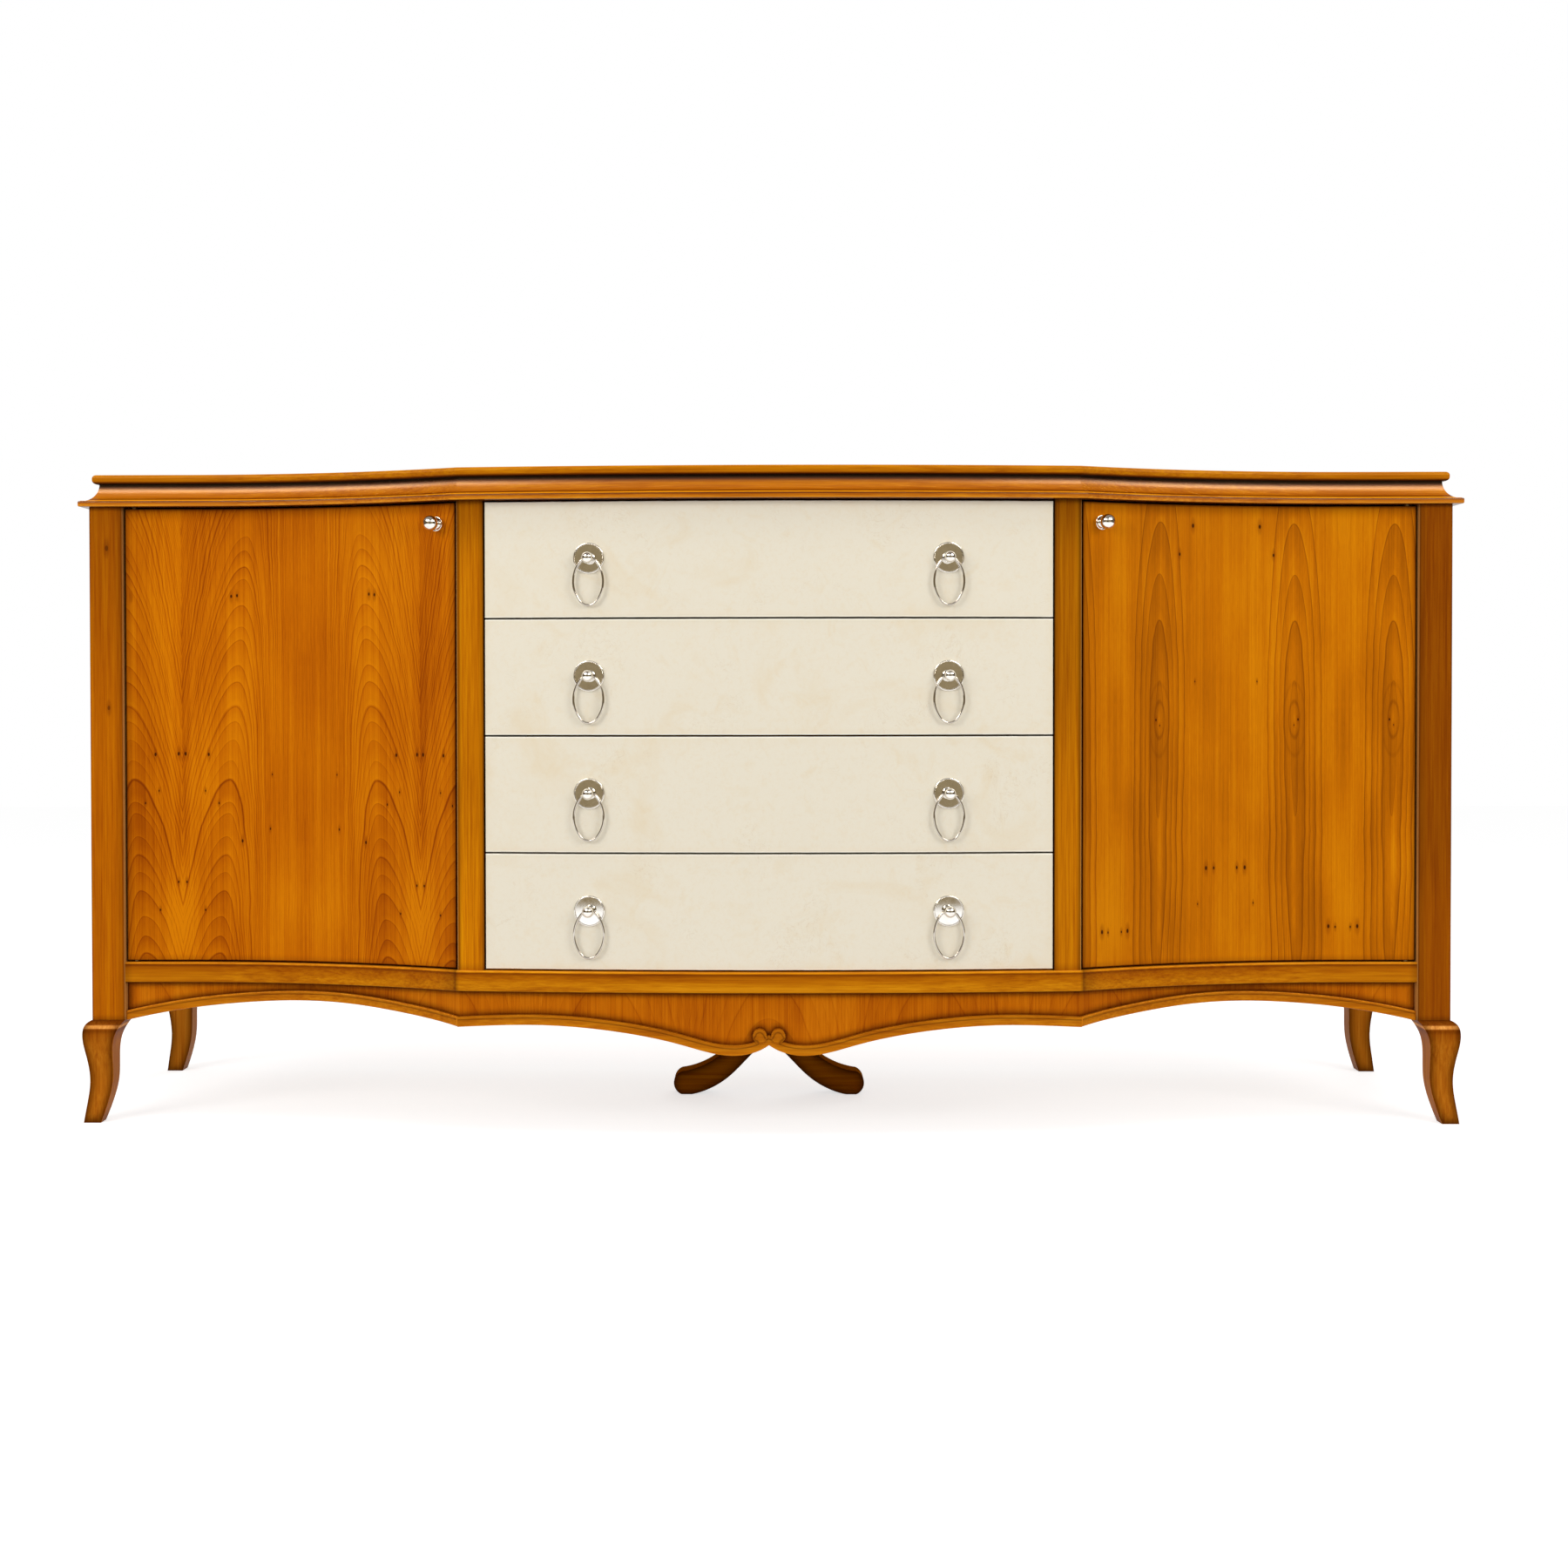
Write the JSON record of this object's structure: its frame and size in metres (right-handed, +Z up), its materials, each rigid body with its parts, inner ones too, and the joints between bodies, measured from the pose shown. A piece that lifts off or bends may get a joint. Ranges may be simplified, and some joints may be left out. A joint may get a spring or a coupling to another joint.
{
  "type": "credenza",
  "caption": "Bow-front wooden sideboard with hollow-curved cupboard doors, a stack of pale drawers with ring pulls, a moulded top and short curved legs.",
  "frame": {"origin": "on the floor, under the middle of the width and of the whole depth with the pulls", "axes": "+X to the right along the width as seen from the front, +Y to the back, +Z up"},
  "size_m": [2, 0.5969, 0.943],
  "materials": {
    "cherry": "solid cherry, stained honey brown, satin-gloss lacquer",
    "cherry_veneer": "figured cherry veneer, satin-gloss lacquer",
    "inner_wood": "plain wood, thin matt lacquer",
    "parchment": "board faced with cream parchment, satin lacquer",
    "nickel": "polished nickel plate",
    "brass": "plain turned brass"
  },
  "bodies": {
    "carcass": {"top_panel": "cherry", "top_nosing": "cherry", "cornice_left": "cherry", "cornice_center": "cherry", "cornice_right": "cherry", "carcass_top": "inner_wood", "carcass_bottom": "inner_wood", "side_panel_left": "cherry", "side_panel_right": "cherry", "partition_left": "inner_wood", "partition_right": "inner_wood", "back_panel": "inner_wood", "corner_post_left": "cherry", "corner_post_right": "cherry", "stile_left": "cherry", "stile_right": "cherry", "base_rail_left": "cherry", "base_rail_center": "cherry", "base_rail_right": "cherry", "apron_left": "cherry_veneer", "apron_center": "cherry_veneer", "apron_right": "cherry_veneer", "apron_bead_left": "cherry", "apron_bead_center": "cherry", "apron_bead_right": "cherry", "leg_front_left": "cherry", "leg_front_right": "cherry", "leg_back_left": "cherry", "leg_back_right": "cherry", "center_foot": "cherry", "shelves": "inner_wood", "shelf_pins": "brass", "drawer_runners": "inner_wood", "pivot_sockets": "brass"},
    "door_left": {"door_left": "cherry_veneer", "door_pivots_left": "brass", "door_knob_left": "nickel"},
    "door_right": {"door_right": "cherry_veneer", "door_pivots_right": "brass", "door_knob_right": "nickel"},
    "drawer_1": {"drawer_1_front": "parchment", "drawer_1_box": "inner_wood", "drawer_1_pulls": "nickel"},
    "drawer_1_ring_left": {"drawer_1_ring_left": "nickel"},
    "drawer_1_ring_right": {"drawer_1_ring_right": "nickel"},
    "drawer_2": {"drawer_2_front": "parchment", "drawer_2_box": "inner_wood", "drawer_2_pulls": "nickel"},
    "drawer_2_ring_left": {"drawer_2_ring_left": "nickel"},
    "drawer_2_ring_right": {"drawer_2_ring_right": "nickel"},
    "drawer_3": {"drawer_3_front": "parchment", "drawer_3_box": "inner_wood", "drawer_3_pulls": "nickel"},
    "drawer_3_ring_left": {"drawer_3_ring_left": "nickel"},
    "drawer_3_ring_right": {"drawer_3_ring_right": "nickel"},
    "drawer_4": {"drawer_4_front": "parchment", "drawer_4_box": "inner_wood", "drawer_4_pulls": "nickel"},
    "drawer_4_ring_left": {"drawer_4_ring_left": "nickel"},
    "drawer_4_ring_right": {"drawer_4_ring_right": "nickel"}
  },
  "joints": [
    {"name": "door_left_hinge", "type": "hinge", "parent": "carcass", "child": "door_left", "pos_m": [-0.9245, -0.1545, 0.233], "axis": [0, 0, -1], "range_deg": [0, 110]},
    {"name": "door_right_hinge", "type": "hinge", "parent": "carcass", "child": "door_right", "pos_m": [0.9245, -0.1545, 0.233], "axis": [0, 0, 1], "range_deg": [0, 110]},
    {"name": "drawer_1_slide", "type": "slide", "parent": "carcass", "child": "drawer_1", "axis": [0, -1, 0], "range_m": [0, 0.36]},
    {"name": "drawer_1_ring_left_swing", "type": "hinge", "parent": "drawer_1", "child": "drawer_1_ring_left", "pos_m": [-0.25239, -0.27825, 0.81325], "axis": [-0.998, 0.0629, 0], "range_deg": [-3, 175]},
    {"name": "drawer_1_ring_right_swing", "type": "hinge", "parent": "drawer_1", "child": "drawer_1_ring_right", "pos_m": [0.25239, -0.27825, 0.81325], "axis": [-0.998, -0.0629, 0], "range_deg": [-3, 175]},
    {"name": "drawer_2_slide", "type": "slide", "parent": "carcass", "child": "drawer_2", "axis": [0, -1, 0], "range_m": [0, 0.36]},
    {"name": "drawer_2_ring_left_swing", "type": "hinge", "parent": "drawer_2", "child": "drawer_2_ring_left", "pos_m": [-0.25239, -0.27825, 0.64825], "axis": [-0.998, 0.0629, 0], "range_deg": [-3, 175]},
    {"name": "drawer_2_ring_right_swing", "type": "hinge", "parent": "drawer_2", "child": "drawer_2_ring_right", "pos_m": [0.25239, -0.27825, 0.64825], "axis": [-0.998, -0.0629, 0], "range_deg": [-3, 175]},
    {"name": "drawer_3_slide", "type": "slide", "parent": "carcass", "child": "drawer_3", "axis": [0, -1, 0], "range_m": [0, 0.36]},
    {"name": "drawer_3_ring_left_swing", "type": "hinge", "parent": "drawer_3", "child": "drawer_3_ring_left", "pos_m": [-0.25239, -0.27825, 0.48325], "axis": [-0.998, 0.0629, 0], "range_deg": [-3, 175]},
    {"name": "drawer_3_ring_right_swing", "type": "hinge", "parent": "drawer_3", "child": "drawer_3_ring_right", "pos_m": [0.25239, -0.27825, 0.48325], "axis": [-0.998, -0.0629, 0], "range_deg": [-3, 175]},
    {"name": "drawer_4_slide", "type": "slide", "parent": "carcass", "child": "drawer_4", "axis": [0, -1, 0], "range_m": [0, 0.36]},
    {"name": "drawer_4_ring_left_swing", "type": "hinge", "parent": "drawer_4", "child": "drawer_4_ring_left", "pos_m": [-0.25239, -0.27825, 0.31825], "axis": [-0.998, 0.0629, 0], "range_deg": [-3, 175]},
    {"name": "drawer_4_ring_right_swing", "type": "hinge", "parent": "drawer_4", "child": "drawer_4_ring_right", "pos_m": [0.25239, -0.27825, 0.31825], "axis": [-0.998, -0.0629, 0], "range_deg": [-3, 175]}
  ]
}
